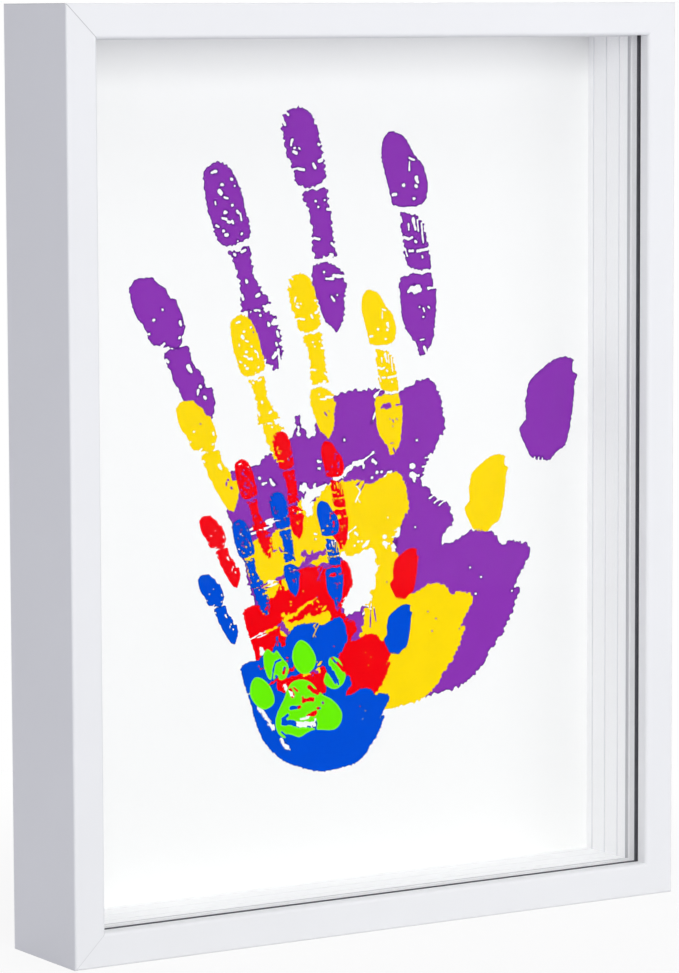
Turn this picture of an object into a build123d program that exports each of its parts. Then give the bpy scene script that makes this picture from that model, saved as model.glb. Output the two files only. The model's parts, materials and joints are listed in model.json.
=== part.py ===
"""Deep white shadow-box frame that shows a print of nested handprints behind its glass.

Millimetres. X runs across the frame, Y runs from the viewer towards the wall, and Z is up.
The origin is the middle of the flat bottom face that the frame stands on.
"""

import os

from build123d import *

# Outside of the frame
frame_width = 253.0
frame_height = 330.0
frame_depth = 45.0

# Moulding: an L section with a thin wall, and a lip over the rabbet in front of the glass
wall_thickness = 8.5
rabbet_width = 3.5
lip_depth = 5.0
outer_edge_radius = 0.8
sight_edge_radius = 1.4
back_edge_radius = 0.6

# What the rabbet holds, from the glass to the back, and its play at the rabbet's wall
pane_thickness = 2.4
bead_depth = 6.0
sheet_thickness = 0.3
mount_board_thickness = 1.5
filler_thickness = 1.8
panel_thickness = 3.0
rabbet_play = 0.3
pane_arris = 0.3
panel_corner_radius = 1.5

# Glazing bead behind the glass, level with the sight edge, with a small round rib
bead_rib_radius = 0.4
bead_rib_setback = 3.6

# Grooves along the liner, counted from its front edge
groove_setback = 5.4
groove_pitch = 8.1
groove_width = 0.9
groove_depth = 0.45

# V nail pressed into the back of each mitre, flush with it
v_nail_leg = 5.0
v_nail_thickness = 0.6
v_nail_height = 10.0

# Turn buttons: stamped plates that swing on a screw and hold the back panel in
button_thickness = 1.0
button_pivot_radius = 3.4
button_tip_radius = 2.6
button_reach = 13.5
button_bend_reach = 10.5
button_tip_lift = 1.2
button_air = 0.1
button_setback_on_stiles = 82.0
button_setback_on_rails = 58.0

# Pan-head screw under each button
screw_radius = 1.5
screw_length = 14.0
screw_tip_length = 2.5
screw_head_radius = 3.0
screw_head_height = 1.9
screw_head_rim = 0.7
screw_play = 0.08

# Sawtooth hangers, in the middle of the top rail and of one stile
hanger_length = 42.0
hanger_width = 7.5
hanger_thickness = 0.8
hanger_rise = 1.6
hanger_foot = 7.5
hanger_ramp = 2.0
hanger_corner_radius = 1.2
tooth_pitch = 3.0
tooth_depth = 1.4
tooth_mouth = 2.4

# Nail through each foot of a hanger, with few sides because it is so small
nail_sides = 8
nail_radius = 0.7
nail_length = 9.0
nail_tip_length = 1.5
nail_head_radius = 1.5
nail_head_height = 0.7
nail_play = 0.1

# Worked out from the sizes above
face_width = wall_thickness + rabbet_width
insert_setback = wall_thickness + rabbet_play
insert_width = frame_width - 2 * insert_setback
insert_height = frame_height - 2 * insert_setback
bead_front = lip_depth + pane_thickness
liner_front = bead_front + bead_depth
panel_front = frame_depth - panel_thickness
filler_front = panel_front - filler_thickness
mount_board_front = filler_front - mount_board_thickness
sheet_front = mount_board_front - sheet_thickness
liner_depth = sheet_front - liner_front
groove_run = liner_depth - groove_setback - groove_width
groove_count = max(0, int(groove_run / groove_pitch + 1))
tooth_run = hanger_length - 2 * (hanger_foot + hanger_ramp)
tooth_count = int(tooth_run / tooth_pitch)
button_stack = button_air + button_thickness + screw_play

# Directions, and each side's way in to the middle, way along, length and size across
right_way, back_way, up_way = Axis.X.direction, Axis.Y.direction, Axis.Z.direction
middle = up_way * (frame_height / 2)
sides = {
    "bottom": (up_way, right_way, frame_width, frame_height),
    "top": (-up_way, right_way, frame_width, frame_height),
    "left": (right_way, up_way, frame_height, frame_width),
    "right": (-right_way, up_way, frame_height, frame_width),
}
upright_sides = ("left", "right")
hanger_sides = {"top": "hanger_portrait", "right": "hanger_landscape"}


def save(builder, name):
    """Labels a finished piece and writes it under its name."""
    builder.part.label = name
    export_step(builder.part, f"parts/{name}.step")


def depth_plane(depth):
    """Upright plane a depth behind the front face, in the frame's middle, facing the viewer."""
    origin = middle + back_way * (depth - frame_depth / 2)
    return Plane(origin, x_dir=right_way, z_dir=-back_way)


def section_plane(side, depth=0):
    """Plane of a side's section: X runs in from its outside face, and Y back from a depth."""
    inward, along, length, across = sides[side]
    origin = depth_plane(depth).origin - inward * (across / 2)
    return Plane(origin, x_dir=inward, z_dir=inward.cross(back_way))


def wall_point(side, offset):
    """Point on the back face, in the middle of a side's wall, an offset from its midpoint."""
    inward, along, length, across = sides[side]
    to_wall = inward * (wall_thickness / 2 - across / 2)
    return depth_plane(frame_depth).origin + to_wall + along * offset


def round_corner(point, radius):
    """Rounds the corner of the open sketch that lies at a point."""
    fillet(vertices().sort_by_distance(point)[0], radius)


def mitre_ends(side):
    """Cuts both ends of the side in the open builder at 45 degrees, through the frame's corners."""
    section = section_plane(side)
    for end in (section.z_dir, -section.z_dir):
        corner = section.origin + end * (sides[side][2] / 2)
        split(bisect_by=Plane(corner, z_dir=section.x_dir + end), keep=Keep.BOTTOM)


def v_nail_outlines():
    """V in the open sketch on each mitre, in the middle of the wall and open to the outside."""
    half = v_nail_thickness / 2
    apex_setback = (wall_thickness + v_nail_leg) / 2
    with Locations((apex_setback - frame_width / 2, apex_setback - frame_height / 2)):
        Polygon(
            (-v_nail_leg, -half),
            (-half, -half),
            (-half, -v_nail_leg),
            (half, -v_nail_leg),
            (half, half),
            (-v_nail_leg, half),
            align=None,
        )
    mirror(about=Plane.YZ)
    mirror(about=Plane.XZ)


def drive_screw(point, mode=Mode.ADD):
    """Turns a pan-head screw that is driven in at a point, with room for a plate under its head."""
    head_top = button_stack + screw_head_height
    head_flat_radius = screw_head_radius - (screw_head_height - screw_head_rim)
    with BuildSketch(Plane(point, x_dir=right_way, z_dir=up_way)) as half_section:
        with BuildLine():
            Polyline(
                (0, head_top),
                (0, button_stack - screw_length),
                (screw_radius, button_stack - screw_length + screw_tip_length),
                (screw_radius, button_stack),
                (screw_head_radius, button_stack),
                (screw_head_radius, button_stack + screw_head_rim),
                (head_flat_radius, head_top),
                close=True,
            )
        make_face()
    revolve(half_section.sketch, axis=Axis(point, back_way), mode=mode)


def drive_nail(point, mode=Mode.ADD):
    """Nail that is driven in at a point, through a hanger's foot, with its head down on the foot."""
    on_foot = Plane(point + back_way * hanger_thickness, x_dir=right_way, z_dir=back_way)
    shoulder = on_foot.offset(nail_tip_length - nail_length)
    tip = Vertex(*on_foot.offset(-nail_length).origin)
    with BuildSketch(on_foot) as head:
        RegularPolygon(nail_head_radius, nail_sides)
    extrude(head.sketch, amount=nail_head_height, mode=mode)
    with BuildSketch(shoulder) as shank:
        RegularPolygon(nail_radius, nail_sides)
    extrude(shank.sketch, amount=nail_length - nail_tip_length, mode=mode)
    loft([shank.sketch, tip], mode=mode)


# Where the turn buttons pivot on each side, and where the nails of each hanger go in
pivots = {}
for side, (inward, along, length, across) in sides.items():
    upright = side in upright_sides
    setback = button_setback_on_stiles if upright else button_setback_on_rails
    low_end, high_end = ("lower", "upper") if upright else ("left", "right")
    pivots[side] = {
        low_end: wall_point(side, setback - length / 2),
        high_end: wall_point(side, length / 2 - setback),
    }
nail_offset = (hanger_length - hanger_foot) / 2
nail_points = {
    side: [wall_point(side, -nail_offset), wall_point(side, nail_offset)]
    for side in hanger_sides
}

os.makedirs("parts", exist_ok=True)

# Mouldings: mitred L sections with slots for the V nails and holes for screws and nails
for side, (inward, along, length, across) in sides.items():
    with BuildPart() as moulding:
        with BuildSketch(section_plane(side)):
            with BuildLine():
                Polyline(
                    (0, 0),
                    (face_width, 0),
                    (face_width, lip_depth),
                    (wall_thickness, lip_depth),
                    (wall_thickness, frame_depth),
                    (0, frame_depth),
                    close=True,
                )
            make_face()
            round_corner((0, 0), outer_edge_radius)
            round_corner((face_width, 0), sight_edge_radius)
            round_corner((0, frame_depth), back_edge_radius)
        extrude(amount=length / 2, both=True)
        mitre_ends(side)
        with BuildSketch(depth_plane(frame_depth)):
            v_nail_outlines()
        extrude(amount=v_nail_height, mode=Mode.SUBTRACT)
        for pivot in pivots[side].values():
            drive_screw(pivot, Mode.SUBTRACT)
        for point in nail_points.get(side, []):
            drive_nail(point, Mode.SUBTRACT)
    save(moulding, f"{'stile' if side in upright_sides else 'rail'}_{side}")

# V nails that clamp the four mitres
with BuildPart() as corner_v_nails:
    with BuildSketch(depth_plane(frame_depth)):
        v_nail_outlines()
    extrude(amount=v_nail_height)
save(corner_v_nails, "corner_v_nails")

# Glass pane, against the back of the lip, with its sharp edges taken off
with BuildPart() as glazing_pane:
    with BuildSketch(depth_plane(lip_depth)):
        Rectangle(insert_width, insert_height)
    extrude(amount=-pane_thickness)
    chamfer(glazing_pane.edges(), pane_arris)
save(glazing_pane, "glazing_pane")

# Glazing beads that keep the glass in
for side, (inward, along, length, across) in sides.items():
    with BuildPart() as glazing_bead:
        with BuildSketch(section_plane(side, bead_front)):
            with Locations((insert_setback, 0)):
                Rectangle(face_width - insert_setback, bead_depth, align=Align.MIN)
            with Locations((face_width, bead_rib_setback)):
                Circle(bead_rib_radius)
        extrude(amount=length / 2, both=True)
        mitre_ends(side)
    save(glazing_bead, f"glazing_bead_{side}")

# Liner boards: grooved walls of the display space, between the beads and the print
for side, (inward, along, length, across) in sides.items():
    with BuildPart() as liner:
        with BuildSketch(section_plane(side, liner_front)):
            with Locations((insert_setback, 0)):
                Rectangle(face_width - insert_setback, liner_depth, align=Align.MIN)
            for number in range(groove_count):
                with Locations((face_width, groove_setback + number * groove_pitch)):
                    Polygon(
                        (0, -groove_width / 2),
                        (0, groove_width / 2),
                        (-groove_depth, 0),
                        align=None,
                        mode=Mode.SUBTRACT,
                    )
        extrude(amount=length / 2, both=True)
        mitre_ends(side)
    save(liner, f"liner_{side}")

# Flat layers behind the display space
layers = {
    "artwork_sheet": (sheet_front, sheet_thickness),
    "mount_board": (mount_board_front, mount_board_thickness),
    "filler_board": (filler_front, filler_thickness),
}
for name, (depth, thickness) in layers.items():
    with BuildPart() as layer:
        with BuildSketch(depth_plane(depth)):
            Rectangle(insert_width, insert_height)
        extrude(amount=-thickness)
    save(layer, name)

# Back panel, flush with the back of the mouldings
with BuildPart() as back_panel:
    with BuildSketch(depth_plane(panel_front)):
        RectangleRounded(insert_width, insert_height, panel_corner_radius)
    extrude(amount=-panel_thickness)
save(back_panel, "back_panel")

# Turn buttons: tapered plates with a lifted tip, lying over the edge of the back panel
for side, (inward, along, length, across) in sides.items():
    for end, pivot in pivots[side].items():
        seat = pivot + back_way * button_air
        tip = button_reach + button_tip_radius
        with BuildPart() as turn_button:
            with BuildSketch(Plane(seat, x_dir=inward, z_dir=inward.cross(back_way))):
                Polygon(
                    (-button_pivot_radius, 0),
                    (button_bend_reach, 0),
                    (tip, button_tip_lift),
                    (tip, button_tip_lift + button_thickness),
                    (button_bend_reach, button_thickness),
                    (-button_pivot_radius, button_thickness),
                    align=None,
                )
            extrude(amount=button_pivot_radius, both=True)
            with BuildSketch(Plane(seat, x_dir=inward, z_dir=back_way)):
                Circle(button_pivot_radius)
                with Locations((button_reach, 0)):
                    Circle(button_tip_radius)
                make_hull()
                Circle(screw_radius + screw_play, mode=Mode.SUBTRACT)
            extrude(amount=button_tip_lift + button_thickness, mode=Mode.INTERSECT)
        save(turn_button, f"turn_button_{side}_{end}")

# Screws that the turn buttons swing on
with BuildPart() as turn_button_screws:
    for side in sides:
        for pivot in pivots[side].values():
            drive_screw(pivot)
save(turn_button_screws, "turn_button_screws")

# Sawtooth hangers: strips raised between two feet, with teeth on the edge that hangs on a hook
for side, name in hanger_sides.items():
    inward = sides[side][0]
    seat = wall_point(side, 0)
    along = inward.cross(back_way)
    half = hanger_length / 2
    foot_end = half - hanger_foot
    ramp_end = foot_end - hanger_ramp
    raised = hanger_rise + hanger_thickness
    with BuildPart() as hanger:
        with BuildSketch(Plane(seat, x_dir=along, z_dir=-inward)):
            Polygon(
                (half, 0),
                (half, hanger_thickness),
                (foot_end, hanger_thickness),
                (ramp_end, raised),
                (-ramp_end, raised),
                (-foot_end, hanger_thickness),
                (-half, hanger_thickness),
                (-half, 0),
                (-foot_end, 0),
                (-ramp_end, hanger_rise),
                (ramp_end, hanger_rise),
                (foot_end, 0),
                align=None,
            )
        extrude(amount=hanger_width / 2, both=True)
        with BuildSketch(Plane(seat, x_dir=along, z_dir=back_way)):
            with Locations((0, hanger_width / 2)):
                with GridLocations(tooth_pitch, tooth_pitch, tooth_count, 1):
                    Polygon(
                        (-tooth_mouth / 2, 0),
                        (0, -tooth_depth),
                        (tooth_mouth / 2, 0),
                        align=None,
                    )
            with Locations((-nail_offset, 0), (nail_offset, 0)):
                Circle(nail_radius + nail_play)
        extrude(amount=raised, mode=Mode.SUBTRACT)
        ends = hanger.edges().filter_by(Axis.Y).group_by(Axis(seat, along))
        fillet(ends[0] + ends[-1], hanger_corner_radius)
    save(hanger, name)

# Nails of both hangers
with BuildPart() as hanger_nails:
    for points in nail_points.values():
        for point in points:
            drive_nail(point)
save(hanger_nails, "hanger_nails")
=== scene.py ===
"""Looks of a deep white shadow-box frame with nested painted handprints behind its glass.

Metres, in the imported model's frame: X across, Y back towards the wall, Z up. Names that end in
_mm hold millimetres, and those of the prints are places on the artwork sheet.
"""

import json
import math

import bpy
import numpy as np
from mathutils import Matrix, Vector
from mathutils.geometry import delaunay_2d_cdt


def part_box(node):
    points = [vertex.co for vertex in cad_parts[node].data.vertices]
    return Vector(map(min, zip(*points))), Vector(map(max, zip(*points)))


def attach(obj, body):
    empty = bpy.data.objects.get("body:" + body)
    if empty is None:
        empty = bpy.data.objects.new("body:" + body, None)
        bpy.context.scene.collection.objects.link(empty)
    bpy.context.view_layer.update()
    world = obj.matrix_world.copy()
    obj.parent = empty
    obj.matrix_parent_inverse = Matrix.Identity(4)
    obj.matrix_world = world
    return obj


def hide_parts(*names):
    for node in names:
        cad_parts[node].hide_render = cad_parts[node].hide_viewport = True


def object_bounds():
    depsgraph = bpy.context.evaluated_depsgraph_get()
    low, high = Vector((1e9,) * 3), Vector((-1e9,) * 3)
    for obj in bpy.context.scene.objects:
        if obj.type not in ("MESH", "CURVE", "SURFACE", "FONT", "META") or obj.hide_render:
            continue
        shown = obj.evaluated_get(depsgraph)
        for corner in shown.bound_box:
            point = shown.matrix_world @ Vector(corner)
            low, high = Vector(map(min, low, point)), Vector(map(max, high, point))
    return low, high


MM = 0.001

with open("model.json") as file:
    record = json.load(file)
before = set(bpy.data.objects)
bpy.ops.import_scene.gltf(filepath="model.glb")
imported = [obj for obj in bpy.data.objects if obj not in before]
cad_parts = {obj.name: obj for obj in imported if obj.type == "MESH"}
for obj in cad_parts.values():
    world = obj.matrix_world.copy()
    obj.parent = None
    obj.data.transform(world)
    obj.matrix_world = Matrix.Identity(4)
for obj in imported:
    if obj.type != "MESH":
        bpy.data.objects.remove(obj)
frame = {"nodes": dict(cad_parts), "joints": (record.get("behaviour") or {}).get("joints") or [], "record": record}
nodes = frame["nodes"]
cad_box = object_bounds()

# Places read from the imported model
frame_low, frame_high = (Vector(corner) for corner in cad_box)
half_width = frame_high.x
half_height = frame_high.z / 2
sheet_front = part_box("artwork_sheet")[0].y
bead_front, bead_back = (corner.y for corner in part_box("glazing_bead_top"))
liner_half_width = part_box("liner_right")[0].x
liner_half_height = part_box("liner_top")[0].z - half_height


def linear(hex_colour):
    """Linear colour of an sRGB hex value."""
    shares = [int(hex_colour[start : start + 2], 16) / 255 for start in (1, 3, 5)]
    return *(s / 12.92 if s <= 0.04045 else ((s + 0.055) / 1.055) ** 2.4 for s in shares), 1.0


def add(tree, kind, settings=None, inputs=None):
    """Adds a node with its settings, and a value, a link or a list of links for each of its inputs."""
    node = tree.nodes.new(kind)
    for name, value in (settings or {}).items():
        setattr(node, name, value)
    for name, given in (inputs or {}).items():
        for value in given if isinstance(given, list) else [given]:
            if isinstance(value, bpy.types.NodeSocket):
                tree.links.new(value, node.inputs[name])
            else:
                node.inputs[name].default_value = value
    return node


def new_material(name):
    """An empty material and its node tree."""
    material = bpy.data.materials.new(name)
    material.use_nodes = True
    material.node_tree.nodes.clear()
    return material, material.node_tree


def patterned_material(name):
    """An empty material, its node tree, and the place of each point on its piece."""
    material, tree = new_material(name)
    return material, tree, add(tree, "ShaderNodeTexCoord").outputs["Object"]


def seen_rays(tree):
    """1 on rays from the camera, off gloss or through glass, which see a white background."""
    path = add(tree, "ShaderNodeLightPath").outputs
    seen = path["Is Camera Ray"]
    for name in ("Is Glossy Ray", "Is Transmission Ray"):
        either = {0: seen, 1: path[name]}
        seen = add(tree, "ShaderNodeMath", {"operation": "MAXIMUM"}, either).outputs[0]
    return seen


# Shares of the noise between which crisp patches change their tone
crisp_change = (0.35, 0.65)


def drifting(tree, place, patch_mm, detail, tones, roughness=0.5, crisp=False):
    """Colour that drifts between two tones in soft or crisp patches, and the noise it follows."""
    noise = {"Vector": place, "Scale": 1 / (patch_mm * MM), "Detail": detail, "Roughness": roughness}
    patches = add(tree, "ShaderNodeTexNoise", inputs=noise).outputs["Fac"]
    share = patches
    if crisp:
        change = {"Value": patches, 1: crisp_change[0], 2: crisp_change[1]}
        share = add(tree, "ShaderNodeMapRange", inputs=change).outputs[0]
    mixed = {0: share, 6: tones[0], 7: tones[1]}
    return add(tree, "ShaderNodeMix", {"data_type": "RGBA"}, mixed).outputs[2], patches


def off_middle(tree, place):
    """Axes of each point, and how far it lies across and up from the middle of the frame."""
    axes = add(tree, "ShaderNodeSeparateXYZ", inputs={0: place}).outputs
    lengths = []
    for axis, middle in (("X", 0.0), ("Z", half_height)):
        off = {0: axes[axis], 1: middle}
        off = add(tree, "ShaderNodeMath", {"operation": "SUBTRACT"}, off).outputs[0]
        lengths.append(add(tree, "ShaderNodeMath", {"operation": "ABSOLUTE"}, {0: off}).outputs[0])
    return axes, *lengths


def surfaced(tree, looks, height=None, strength=0.0, relief_mm=0.0):
    """Ends a material with its shader, over a fine relief where it has one."""
    if height is not None:
        relief = {"Strength": strength, "Distance": relief_mm * MM, "Height": height}
        looks["Normal"] = add(tree, "ShaderNodeBump", inputs=relief).outputs[0]
    shader = add(tree, "ShaderNodeBsdfPrincipled", inputs=looks)
    add(tree, "ShaderNodeOutputMaterial", inputs={0: shader.outputs[0]})


# Camera, from a fit of the frame's corners in the photograph
camera_place = Vector((-0.83493, -1.326992, 0.325414))
camera_azimuth = math.radians(-32.0221)
camera_elevation = math.radians(6.1073)
camera_roll = math.radians(-0.2078)
camera_lens = 162.7245
camera_sensor = 36.0


def make_camera():
    """Camera at the photograph's viewing angle, with no shift."""
    back = Vector(
        (
            math.sin(camera_azimuth) * math.cos(camera_elevation),
            -math.cos(camera_azimuth) * math.cos(camera_elevation),
            math.sin(camera_elevation),
        )
    )
    level = Vector((math.cos(camera_azimuth), math.sin(camera_azimuth), 0))
    turned = Matrix((level, back.cross(level), back)).transposed()
    data = bpy.data.cameras.new("photo_camera")
    data.sensor_fit = "VERTICAL"
    data.sensor_height = camera_sensor
    data.lens = camera_lens
    camera = bpy.data.objects.new("photo_camera", data)
    roll = Matrix.Rotation(camera_roll, 3, "Z")
    camera.matrix_world = Matrix.Translation(camera_place) @ (turned @ roll).to_4x4()
    bpy.context.scene.collection.objects.link(camera)
    bpy.context.scene.camera = camera


# Soft boxes, aimed at the middle of the frame: name, place, width and watts of each
lamps = (
    ("key_softbox", (-1.15, -2.9, 1.0), 1.2, 37.0),
    ("fill_softbox", (0.6, -0.75, 0.17), 0.5, 1.2),
    ("top_softbox", (0.1, -0.9, 2.1), 1.5, 7.0),
    ("back_softbox", (0.7, 1.6, 0.9), 1.2, 12.0),
)
# Light of the studio from the front, and what it turns to towards the back: each colour, and
# where along Y its turn starts and ends
front_light = "#C4C4C5"
back_lights = (("#9696B2", -0.3, 0.3), ("#909092", 0.35, 0.85))
white = (1, 1, 1, 1)


def make_lights():
    """Soft boxes, and a world that is white to the eye and dimmer behind the frame as a light."""
    target = Vector((0, 0, half_height))
    for name, place, width, watts in lamps:
        data = bpy.data.lights.new(name, "AREA")
        data.size = width
        data.energy = watts
        lamp = bpy.data.objects.new(name, data)
        lamp.location = place
        lamp.rotation_euler = (target - lamp.location).to_track_quat("-Z", "Y").to_euler()
        bpy.context.scene.collection.objects.link(lamp)
    world = bpy.data.worlds.new("pale_studio")
    world.use_nodes = True
    tree = world.node_tree
    tree.nodes.clear()
    way = add(tree, "ShaderNodeTexCoord").outputs["Generated"]
    back = add(tree, "ShaderNodeSeparateXYZ", inputs={0: way}).outputs["Y"]
    light = linear(front_light)
    smooth = {"interpolation_type": "SMOOTHSTEP"}
    for colour, start, end in back_lights:
        turn = add(tree, "ShaderNodeMapRange", smooth, {"Value": back, 1: start, 2: end})
        turned = {0: turn.outputs[0], 6: light, 7: linear(colour)}
        light = add(tree, "ShaderNodeMix", {"data_type": "RGBA"}, turned).outputs[2]
    lit = add(tree, "ShaderNodeBackground", inputs={"Color": light}).outputs[0]
    plain = add(tree, "ShaderNodeBackground", inputs={"Color": white}).outputs[0]
    mix = add(tree, "ShaderNodeMixShader", inputs={0: seen_rays(tree), 1: lit, 2: plain})
    add(tree, "ShaderNodeOutputWorld", inputs={0: mix.outputs[0]})
    bpy.context.scene.world = world
    bpy.context.scene.view_settings.view_transform = "Standard"


# Floor: a round white table top that fades into the white background between two distances
floor_radius = 6.0
floor_sides = 64
floor_fade = (0.12, 0.35)
floor_least_white = 0.88


def make_floor():
    """Matt white floor that keeps the frame's shadow near it and is plain white further out."""
    mesh = bpy.data.meshes.new("floor")
    turn = math.tau / floor_sides
    rim = [
        (floor_radius * math.cos(turn * i), floor_radius * math.sin(turn * i), frame_low.z)
        for i in range(floor_sides)
    ]
    mesh.from_pydata(rim, [], [tuple(range(floor_sides))])
    floor = bpy.data.objects.new("floor", mesh)
    bpy.context.scene.collection.objects.link(floor)
    material, tree, place = patterned_material("matt_white_floor")
    distance = add(tree, "ShaderNodeVectorMath", {"operation": "LENGTH"}, {0: place}).outputs["Value"]
    fade = {"Value": distance, 1: floor_fade[0], 2: floor_fade[1], 3: floor_least_white}
    fade = add(tree, "ShaderNodeMapRange", {"interpolation_type": "SMOOTHSTEP"}, fade).outputs[0]
    both = {0: fade, 1: seen_rays(tree)}
    share = add(tree, "ShaderNodeMath", {"operation": "MULTIPLY"}, both).outputs[0]
    matt = add(tree, "ShaderNodeBsdfDiffuse", inputs={"Color": linear("#EAEAEB")}).outputs[0]
    plain = add(tree, "ShaderNodeEmission", inputs={"Color": white}).outputs[0]
    mix = add(tree, "ShaderNodeMixShader", inputs={0: share, 1: matt, 2: plain})
    add(tree, "ShaderNodeOutputMaterial", inputs={0: mix.outputs[0]})
    mesh.materials.append(material)


def white_lacquer():
    """Spray-lacquered moulding: an even satin white with a faint orange peel, which softens its
    highlights, and a dark hairline where two mouldings meet at a mitre."""
    material, tree, place = patterned_material("spray_lacquered_moulding")
    axes, across, up = off_middle(tree, place)
    lead = add(tree, "ShaderNodeMath", {"operation": "SUBTRACT"}, {0: across, 1: up}).outputs[0]
    past = {0: lead, 1: half_height - half_width}
    past = add(tree, "ShaderNodeMath", {"operation": "ADD"}, past).outputs[0]
    off_mitre = add(tree, "ShaderNodeMath", {"operation": "ABSOLUTE"}, {0: past}).outputs[0]
    hairline = {"Value": off_mitre, 1: 0.08 * MM, 2: 0.3 * MM, 3: 1.0, 4: 0.0}
    smooth = {"interpolation_type": "SMOOTHSTEP"}
    share = add(tree, "ShaderNodeMapRange", smooth, hairline).outputs[0]
    # The joints show less to the right and lower down: axis, its two ends and the share at each
    for axis, start, end, at_start, at_end in (
        ("X", -half_width, half_width, 0.5, 0.0),
        ("Z", 0.0, 2 * half_height, 0.4, 1.0),
    ):
        fade = {"Value": axes[axis], 1: start, 2: end, 3: at_start, 4: at_end}
        both = {0: share, 1: add(tree, "ShaderNodeMapRange", inputs=fade).outputs[0]}
        share = add(tree, "ShaderNodeMath", {"operation": "MULTIPLY"}, both).outputs[0]
    paint, _ = drifting(tree, place, 60, 2.0, (linear("#E3E4E6"), linear("#E8E9EB")))
    lined = {0: share, 6: paint, 7: linear("#6E6E74")}
    colour = add(tree, "ShaderNodeMix", {"data_type": "RGBA"}, lined).outputs[2]
    peel = {"Vector": place, "Scale": 1 / (1.6 * MM), "Detail": 1.0}
    peel = add(tree, "ShaderNodeTexNoise", inputs=peel).outputs["Fac"]
    surfaced(tree, {"Base Color": colour, "Roughness": 0.42, "IOR": 1.46}, peel, 0.12, 0.05)
    return material


def picture_glass():
    """Float glass with a low-reflection coating: clear, with hardly any mirror image."""
    material, tree = new_material("coated_float_glass")
    clear = {"Base Color": linear("#FDFEFD"), "Transmission Weight": 1.0}
    surfaced(tree, clear | {"Roughness": 0.0, "IOR": 1.07})
    return material


def bead_plastic():
    """Extruded grey plastic, with painted shade that gives the fine lines along the display space: darker
    behind its rib and again at its back, where it meets the liner, and dark on the edge that touches
    the glass, where the gap under the lip lies in shade."""
    material, tree, place = patterned_material("extruded_plastic_bead")
    depth = add(tree, "ShaderNodeSeparateXYZ", inputs={0: place}).outputs["Y"]
    colour, _ = drifting(tree, place, 0.8, 2.0, (linear("#DCDCDE"), linear("#E2E2E4")))
    # Painted shade, in bands: each band's colour, and where it starts and is in full
    painted_shade_bands = (
        ("#BCBCC1", bead_back - 1.9 * MM, bead_back - 1.6 * MM),
        ("#B0B0B6", bead_back - 0.55 * MM, bead_back - 0.4 * MM),
        # Painted shadow of the gap between the lip and the bead, seen through the glass
        ("#5A5A60", bead_front + 0.35 * MM, bead_front + 0.2 * MM),
    )
    for band, clear, full in painted_shade_bands:
        share = add(tree, "ShaderNodeMapRange", inputs={"Value": depth, 1: clear, 2: full})
        banded = {0: share.outputs[0], 6: colour, 7: linear(band)}
        colour = add(tree, "ShaderNodeMix", {"data_type": "RGBA"}, banded).outputs[2]
    surfaced(tree, {"Base Color": colour, "Roughness": 0.55, "IOR": 1.5})
    return material


def plain_board(name, dark, pale, grain_mm, roughness, relief_mm):
    """Board or paper whose colour varies a little with its fibres, which also roughen it."""
    material, tree, place = patterned_material(name)
    tones = linear(dark), linear(pale)
    colour, fibres = drifting(tree, place, grain_mm, 4.0, tones, roughness=0.7)
    surfaced(tree, {"Base Color": colour, "Roughness": roughness}, fibres, 0.25, relief_mm)
    return material


def foil_liner():
    """White foil wrapped round board: smooth and satin, with soft shade down in its grooves."""
    material, tree, place = patterned_material("foil_wrapped_liner")
    _, across, up = off_middle(tree, place)
    side = {0: across, 1: liner_half_width}
    side = add(tree, "ShaderNodeMath", {"operation": "SUBTRACT"}, side).outputs[0]
    end = {0: up, 1: liner_half_height}
    end = add(tree, "ShaderNodeMath", {"operation": "SUBTRACT"}, end).outputs[0]
    depth = add(tree, "ShaderNodeMath", {"operation": "MAXIMUM"}, {0: side, 1: end}).outputs[0]
    shade = {"Value": depth, 1: 0.02 * MM, 2: 0.2 * MM}
    shade = add(tree, "ShaderNodeMapRange", inputs=shade).outputs[0]
    foil, _ = drifting(tree, place, 30, 2.0, (linear("#F8F8FA"), linear("#FBFBFC")))
    shaded = {0: shade, 6: foil, 7: linear("#E3E3E7")}
    colour = add(tree, "ShaderNodeMix", {"data_type": "RGBA"}, shaded).outputs[2]
    surfaced(tree, {"Base Color": colour, "Roughness": 0.7})
    return material


def pressed_hardboard():
    """Hardboard pressed from wood fibre: warm brown, with dark and pale fibres that lie every way in
    soft clouds. Real fibres are a quarter as wide, too fine to show."""
    material, tree, place = patterned_material("pressed_hardboard")
    colour, _ = drifting(tree, place, 28, 3.0, (linear("#6E4C31"), linear("#866040")))
    heights = 0.0
    # Which way the fibres of each layer lean, in degrees, and their colour
    layers = ((20, "#4E3420"), (-50, "#A47C56"), (75, "#553923"), (-15, "#99704B"))
    fibre_size = (0.9 * MM, 3 * MM, 6 * MM)
    for lean, fibre in layers:
        laid = {"Vector": place, "Rotation": (0, math.radians(lean), 0), "Scale": fibre_size}
        laid = add(tree, "ShaderNodeMapping", {"vector_type": "TEXTURE"}, laid).outputs[0]
        strands = {"Vector": laid, "Scale": 1.0, "Detail": 1.5, "Distortion": 0.8}
        strands = add(tree, "ShaderNodeTexNoise", inputs=strands).outputs["Fac"]
        share = add(tree, "ShaderNodeMapRange", inputs={"Value": strands, 1: 0.6, 2: 0.8}).outputs[0]
        mixed = {0: share, 6: colour, 7: linear(fibre)}
        colour = add(tree, "ShaderNodeMix", {"data_type": "RGBA"}, mixed).outputs[2]
        both = {0: heights, 1: share}
        heights = add(tree, "ShaderNodeMath", {"operation": "ADD"}, both).outputs[0]
    surfaced(tree, {"Base Color": colour, "Roughness": 0.6}, heights, 0.25, 0.05)
    return material


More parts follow.
